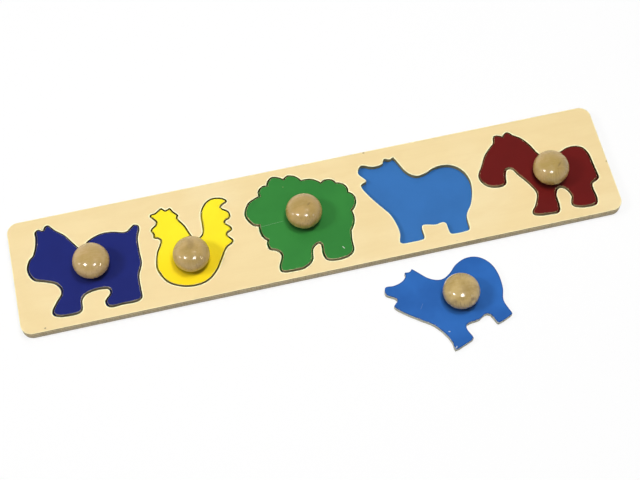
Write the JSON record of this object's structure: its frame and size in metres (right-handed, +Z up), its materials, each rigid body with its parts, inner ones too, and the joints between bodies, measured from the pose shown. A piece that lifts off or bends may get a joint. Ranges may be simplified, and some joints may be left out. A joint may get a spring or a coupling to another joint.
{
  "type": "peg puzzle",
  "caption": "Long wooden peg puzzle: painted animal shapes with turned ball knobs lift out of matching sawn openings; the hippo lies loose in front of its empty place.",
  "frame": {"origin": "centre of the board's underside, at table height", "axes": "+X along the board towards the horse, +Y towards the board's far side with the animals upright, +Z up out of the openings"},
  "size_m": [0.4, 0.1494, 0.0241],
  "materials": {
    "top_plywood": "satin",
    "base_plywood": "matte",
    "navy_floor": "satin",
    "yellow_floor": "satin",
    "green_floor": "satin",
    "blue_floor": "satin",
    "maroon_floor": "satin",
    "navy_paint": "satin",
    "yellow_paint": "satin",
    "green_paint": "satin",
    "blue_paint": "satin",
    "maroon_paint": "satin",
    "lacquered_wood": "gloss",
    "zinc_steel": "satin"
  },
  "bodies": {
    "board": {"frame_board": "top_plywood", "backing_board": "base_plywood", "dog_floor": "navy_floor", "rooster_floor": "yellow_floor", "sheep_floor": "green_floor", "hippo_floor": "blue_floor", "horse_floor": "maroon_floor"},
    "dog": {"dog_plate": "navy_paint", "dog_knob": "lacquered_wood", "dog_screw": "zinc_steel"},
    "rooster": {"rooster_plate": "yellow_paint", "rooster_knob": "lacquered_wood", "rooster_screw": "zinc_steel"},
    "sheep": {"sheep_plate": "green_paint", "sheep_knob": "lacquered_wood", "sheep_screw": "zinc_steel"},
    "hippo": {"hippo_plate": "blue_paint", "hippo_knob": "lacquered_wood", "hippo_screw": "zinc_steel"},
    "horse": {"horse_plate": "maroon_paint", "horse_knob": "lacquered_wood", "horse_screw": "zinc_steel"}
  },
  "joints": [
    {"name": "dog_lift", "type": "slide", "parent": "board", "child": "dog", "axis": [0, 0, 1], "range_m": [0, 0.05]},
    {"name": "rooster_lift", "type": "slide", "parent": "board", "child": "rooster", "axis": [0, 0, 1], "range_m": [0, 0.05]},
    {"name": "sheep_lift", "type": "slide", "parent": "board", "child": "sheep", "axis": [0, 0, 1], "range_m": [0, 0.05]},
    {"name": "hippo_lift", "type": "slide", "parent": "board", "child": "hippo", "axis": [0, 0, 1], "range_m": [0, 0.05]},
    {"name": "horse_lift", "type": "slide", "parent": "board", "child": "horse", "axis": [0, 0, 1], "range_m": [0, 0.05]}
  ]
}
